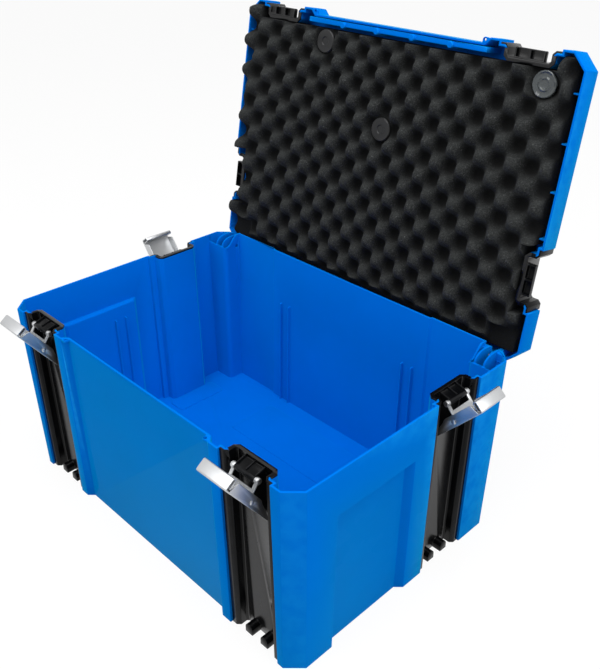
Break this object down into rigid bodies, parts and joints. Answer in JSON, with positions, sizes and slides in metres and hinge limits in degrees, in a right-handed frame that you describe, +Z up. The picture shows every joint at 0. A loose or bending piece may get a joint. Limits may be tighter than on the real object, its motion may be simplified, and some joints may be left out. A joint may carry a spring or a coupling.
{
  "type": "stackable tool case",
  "caption": "Stackable plastic tool case with a hinged foam-lined lid standing open, black wall channels and steel toggle latches that hook over catches on the lid.",
  "frame": {"origin": "on the floor under the middle of the tub", "axes": "+X along the case to the right, +Y from the front to the hinge side, +Z up"},
  "size_m": [0.6912, 0.5596, 0.6601],
  "materials": {
    "blue_shell": "satin moulded plastic, blue",
    "black_moulding": "matt moulded plastic, black",
    "steel": "satin zinc-plated sheet",
    "foam": "open-cell foam, charcoal",
    "dark_plug": "satin dark grey plastic",
    "clear_plug": "translucent plastic"
  },
  "bodies": {
    "tub": {"tub": "blue_shell", "hinge_pin_left": "steel", "hinge_pin_right": "steel", "channel_front_left": "black_moulding", "pivot_pin_front_left": "steel", "channel_front_right": "black_moulding", "pivot_pin_front_right": "steel", "channel_left_side": "black_moulding", "pivot_pin_left_side": "steel", "channel_right_side": "black_moulding", "pivot_pin_right_side": "steel"},
    "lid": {"lid": "blue_shell", "foam_pad": "foam", "foam_plug_left": "dark_plug", "foam_plug_middle": "dark_plug", "foam_plug_right": "clear_plug", "lid_catch_front_left": "black_moulding", "lid_catch_front_right": "black_moulding", "lid_catch_left_side": "black_moulding", "lid_catch_right_side": "black_moulding"},
    "link_front_left": {"link_front_left": "steel"},
    "lever_front_left": {"lever_front_left": "steel", "lever_pin_front_left": "steel"},
    "link_front_right": {"link_front_right": "steel"},
    "lever_front_right": {"lever_front_right": "steel", "lever_pin_front_right": "steel"},
    "link_left_side": {"link_left_side": "steel"},
    "lever_left_side": {"lever_left_side": "steel", "lever_pin_left_side": "steel"},
    "link_right_side": {"link_right_side": "steel"},
    "lever_right_side": {"lever_right_side": "steel", "lever_pin_right_side": "steel"}
  },
  "joints": [
    {"name": "lid_hinge", "type": "hinge", "parent": "tub", "child": "lid", "pos_m": [0, 0.1973, 0.2672], "axis": [1, 0, 0], "range_deg": [0, 100]},
    {"name": "link_pivot_front_left", "type": "hinge", "parent": "tub", "child": "link_front_left", "pos_m": [-0.2205, -0.199, 0.2685], "axis": [1, 0, 0], "range_deg": [0, 35.4]},
    {"name": "lever_pivot_front_left", "type": "hinge", "parent": "link_front_left", "child": "lever_front_left", "pos_m": [-0.2205, -0.2125, 0.24951], "axis": [1, 0, 0], "range_deg": [-72.1, 0]},
    {"name": "link_pivot_front_right", "type": "hinge", "parent": "tub", "child": "link_front_right", "pos_m": [0.2205, -0.199, 0.2685], "axis": [1, 0, 0], "range_deg": [0, 35.4]},
    {"name": "lever_pivot_front_right", "type": "hinge", "parent": "link_front_right", "child": "lever_front_right", "pos_m": [0.2205, -0.2125, 0.24951], "axis": [1, 0, 0], "range_deg": [-72.1, 0]},
    {"name": "link_pivot_left_side", "type": "hinge", "parent": "tub", "child": "link_left_side", "pos_m": [-0.295, 0.083, 0.2685], "axis": [0, -1, 0], "range_deg": [0, 35.4]},
    {"name": "lever_pivot_left_side", "type": "hinge", "parent": "link_left_side", "child": "lever_left_side", "pos_m": [-0.3085, 0.083, 0.24951], "axis": [0, -1, 0], "range_deg": [-72.1, 0]},
    {"name": "link_pivot_right_side", "type": "hinge", "parent": "tub", "child": "link_right_side", "pos_m": [0.295, 0.083, 0.2685], "axis": [0, 1, 0], "range_deg": [0, 40.9]},
    {"name": "lever_pivot_right_side", "type": "hinge", "parent": "link_right_side", "child": "lever_right_side", "pos_m": [0.31026, 0.083, 0.25089], "axis": [0, 1, 0], "range_deg": [-83.3, 0]}
  ],
  "couplings": [
    {"joint": "lever_pivot_front_left", "follows": "link_pivot_front_left", "ratio": -2.0367},
    {"joint": "lever_pivot_front_right", "follows": "link_pivot_front_right", "ratio": -2.0367},
    {"joint": "lever_pivot_left_side", "follows": "link_pivot_left_side", "ratio": -2.0367},
    {"joint": "lever_pivot_right_side", "follows": "link_pivot_right_side", "ratio": -2.0367}
  ]
}
